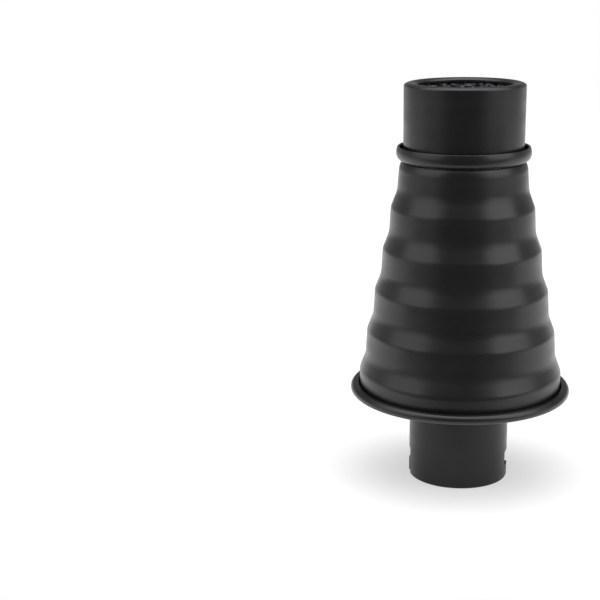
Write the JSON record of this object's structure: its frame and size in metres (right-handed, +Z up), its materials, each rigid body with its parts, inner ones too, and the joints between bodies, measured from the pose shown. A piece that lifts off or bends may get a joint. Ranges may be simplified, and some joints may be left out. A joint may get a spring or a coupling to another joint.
{
  "type": "studio snoot",
  "caption": "Stepped black conical light snoot on a slotted bayonet tube, with a pull-out nozzle that carries a silver light tube and a honeycomb grid.",
  "frame": {"origin": "centre of the bayonet tube's lower rim, on the snoot's axis, in the rim's plane", "axes": "+Z up the axis from the bayonet tube to the nozzle, where the light leaves; +X through the middle of one bayonet channel's side of the tube; +Y completes the right-handed frame"},
  "size_m": [0.1106, 0.1106, 0.2003],
  "materials": {
    "black_coat": "satin black coat on spun aluminium",
    "silver": "frosted bare aluminium",
    "black_foil": "matt black anodised foil",
    "felt": "black felt",
    "rivet": "bare upset rivet",
    "spring_wire": "drawn spring wire"
  },
  "bodies": {
    "cone": {"cone_shell": "black_coat", "base_dish": "black_coat", "mount_tube": "black_coat", "tube_socket": "black_coat", "mount_rivets": "rivet", "felt_ring": "felt"},
    "insert": {"nozzle": "black_coat", "inner_tube": "silver", "grid_frame": "black_foil", "honeycomb_grid": "black_foil", "grid_snap_ring": "spring_wire"}
  },
  "joints": [
    {"name": "insert_pull", "type": "slide", "parent": "cone", "child": "insert", "axis": [0, 0, 1], "range_m": [0, 0.125]}
  ]
}
